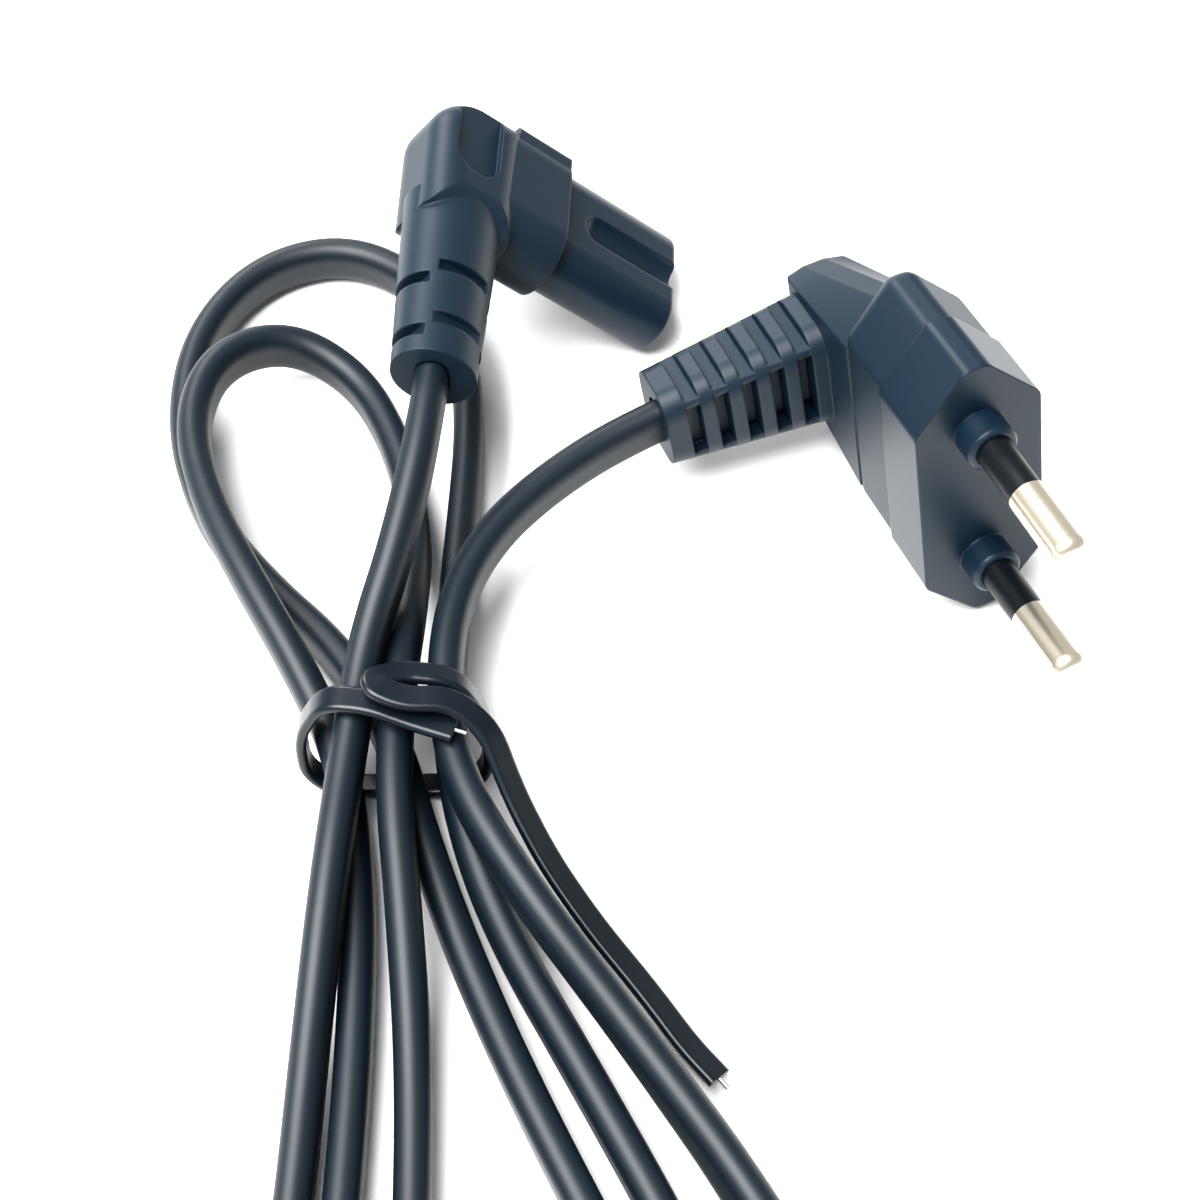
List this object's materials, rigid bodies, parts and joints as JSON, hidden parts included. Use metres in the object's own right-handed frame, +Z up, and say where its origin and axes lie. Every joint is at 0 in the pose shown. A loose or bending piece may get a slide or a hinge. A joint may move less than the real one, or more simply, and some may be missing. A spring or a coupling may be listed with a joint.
{
  "type": "power cord",
  "caption": "Flat mains lead, tied in a hank, with an angled round-pin plug on one end and an angled figure-eight connector on the other.",
  "frame": {"origin": "centre of the whole lead's outline on the table, at the table's level", "axes": "+Z is up; +X is the picture's right, across the hank; +Y runs along the hank, from its folds towards its two loops"},
  "size_m": [0.0986, 0.2614, 0.0356],
  "materials": {
    "soft_pvc": "satin",
    "cord_pvc": "satin",
    "hard_plastic": "satin",
    "sleeve_plastic": "satin",
    "pin_brass": "nickel plated, polished",
    "contact_brass": "bright",
    "copper": "bright",
    "core_brown": "satin",
    "core_blue": "satin",
    "tie_plastic": "satin",
    "tie_steel": "drawn wire"
  },
  "bodies": {
    "root": {"connector_conductor_blue": "copper", "connector_conductor_brown": "copper", "connector_contact_blue": "contact_brass", "connector_contact_brown": "contact_brass", "connector_core_blue": "core_blue", "connector_core_brown": "core_brown", "connector_insert": "hard_plastic", "connector_overmould": "soft_pvc", "cord": "cord_pvc", "plug_bridge": "hard_plastic", "plug_conductor_blue": "copper", "plug_conductor_brown": "copper", "plug_core_blue": "core_blue", "plug_core_brown": "core_brown", "plug_overmould": "soft_pvc", "plug_pin_blue": "pin_brass", "plug_pin_brown": "pin_brass", "plug_sleeve_blue": "sleeve_plastic", "plug_sleeve_brown": "sleeve_plastic", "twist_tie_jacket": "tie_plastic", "twist_tie_wire": "tie_steel"}
  },
  "joints": []
}
